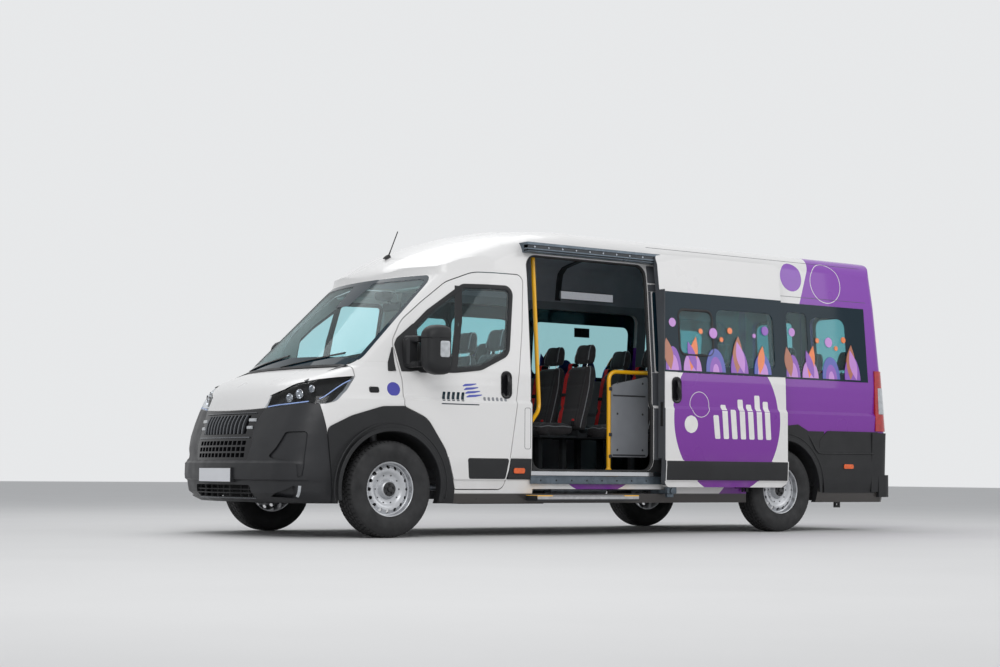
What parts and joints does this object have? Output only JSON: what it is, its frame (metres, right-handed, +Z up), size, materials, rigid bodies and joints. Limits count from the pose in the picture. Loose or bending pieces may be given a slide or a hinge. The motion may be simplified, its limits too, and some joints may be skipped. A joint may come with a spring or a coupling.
{
  "type": "minibus",
  "caption": "Long high-roof minibus with opening cab and rear doors, an open sliding side door, steered front wheels and seats in rows.",
  "frame": {"origin": "on the ground, midway along and across the vehicle", "axes": "+X towards the front, +Y towards the vehicle's left side, +Z up"},
  "size_m": [6.363, 2.5066, 2.522],
  "materials": {
    "white_paint": "gloss",
    "glazing": "gloss",
    "lamp_clear": "gloss",
    "lamp_red": "gloss",
    "gloss_black": "gloss",
    "black_plastic": "satin",
    "grey_trim": "matte",
    "floor_covering": "matte",
    "seat_fabric": "matte",
    "seat_steel": "satin",
    "yellow_rail": "gloss",
    "frame_steel": "satin",
    "tank_plastic": "matte",
    "engine_metal": "matte",
    "step_metal": "satin",
    "tyre": "matte",
    "rim_silver": "satin"
  },
  "bodies": {
    "root": {"aerial": "black_plastic", "cab_frame": "white_paint", "dashboard": "grey_trim", "engine": "engine_metal", "exhaust": "frame_steel", "floor_pan": "floor_covering", "front_bumper": "black_plastic", "front_suspension": "frame_steel", "front_wings": "white_paint", "fuel_tank": "tank_plastic", "grab_rails": "yellow_rail", "grille": "gloss_black", "headlamps": "lamp_clear", "headrests": "seat_fabric", "modesty_panel": "grey_trim", "rear_axle": "frame_steel", "rear_bumper": "black_plastic", "rear_hinges": "frame_steel", "rear_lamps": "lamp_red", "rear_springs": "frame_steel", "roof_panel": "white_paint", "seat_backs": "seat_fabric", "seat_cushions": "seat_fabric", "seat_frames": "seat_steel", "side_cladding": "black_plastic", "side_glass": "glazing", "side_panel_left": "white_paint", "side_panel_right": "white_paint", "side_step": "step_metal", "sliding_door": "white_paint", "sliding_door_rails": "frame_steel", "steering_column": "black_plastic", "underframe": "frame_steel", "wheel_housings": "black_plastic", "windscreen": "glazing", "wipers": "black_plastic"},
    "knuckle_left": {"knuckle_left": "engine_metal"},
    "knuckle_right": {"knuckle_right": "engine_metal"},
    "front_door_left": {"front_door_left": "white_paint", "front_door_glass_left": "glazing", "mirror_left": "black_plastic"},
    "front_door_right": {"front_door_right": "white_paint", "front_door_glass_right": "glazing", "mirror_right": "black_plastic"},
    "rear_door_left": {"rear_door_left": "white_paint", "rear_door_glass_left": "glazing"},
    "rear_door_right": {"rear_door_right": "white_paint", "rear_door_glass_right": "glazing"},
    "bonnet": {"bonnet": "white_paint"},
    "steering_wheel": {"steering_wheel": "black_plastic"},
    "wheel_front_left": {"tyre_front_left": "tyre", "rim_front_left": "rim_silver"},
    "wheel_front_right": {"tyre_front_right": "tyre", "rim_front_right": "rim_silver"},
    "wheel_rear_left": {"tyre_rear_left": "tyre", "rim_rear_left": "rim_silver"},
    "wheel_rear_right": {"tyre_rear_right": "tyre", "rim_rear_right": "rim_silver"}
  },
  "joints": [
    {"name": "steer_left", "type": "hinge", "parent": "root", "child": "knuckle_left", "pos_m": [2.2335, 0.835, 0.362], "axis": [0, 0, 1], "range_deg": [-35, 35]},
    {"name": "steer_right", "type": "hinge", "parent": "root", "child": "knuckle_right", "pos_m": [2.2335, -0.835, 0.362], "axis": [0, 0, 1], "range_deg": [-35, 35]},
    {"name": "steering_wheel_turn", "type": "hinge", "parent": "root", "child": "steering_wheel", "pos_m": [1.7885, -0.42, 1.19], "axis": [-0.8192, 0, 0.5736], "range_deg": [-525, 525]},
    {"name": "wheel_front_left_spin", "type": "hinge", "parent": "knuckle_left", "child": "wheel_front_left", "pos_m": [2.2335, 0.905, 0.362], "axis": [0, 1, 0], "continuous": true},
    {"name": "wheel_front_right_spin", "type": "hinge", "parent": "knuckle_right", "child": "wheel_front_right", "pos_m": [2.2335, -0.905, 0.362], "axis": [0, 1, 0], "continuous": true},
    {"name": "wheel_rear_left_spin", "type": "hinge", "parent": "root", "child": "wheel_rear_left", "pos_m": [-1.8015, 0.895, 0.362], "axis": [0, 1, 0], "continuous": true},
    {"name": "wheel_rear_right_spin", "type": "hinge", "parent": "root", "child": "wheel_rear_right", "pos_m": [-1.8015, -0.895, 0.362], "axis": [0, 1, 0], "continuous": true},
    {"name": "front_door_left_hinge", "type": "hinge", "parent": "root", "child": "front_door_left", "pos_m": [2.1275, 1.04, 0.9], "axis": [0, 0, -1], "range_deg": [0, 68]},
    {"name": "front_door_right_hinge", "type": "hinge", "parent": "root", "child": "front_door_right", "pos_m": [2.1275, -1.04, 0.9], "axis": [0, 0, 1], "range_deg": [0, 68]},
    {"name": "rear_door_left_hinge", "type": "hinge", "parent": "root", "child": "rear_door_left", "pos_m": [-3.14, 0.786, 1.03], "axis": [-0.0449, 0, -0.999], "range_deg": [0, 180]},
    {"name": "rear_door_right_hinge", "type": "hinge", "parent": "root", "child": "rear_door_right", "pos_m": [-3.14, -0.786, 1.03], "axis": [0.0449, 0, 0.999], "range_deg": [0, 180]},
    {"name": "bonnet_hinge", "type": "hinge", "parent": "root", "child": "bonnet", "pos_m": [2.4955, 0, 1.325], "axis": [0, -1, 0], "range_deg": [0, 55]}
  ],
  "couplings": [
    {"joint": "steer_right", "follows": "steer_left", "ratio": 1},
    {"joint": "steering_wheel_turn", "follows": "steer_left", "ratio": 15}
  ]
}
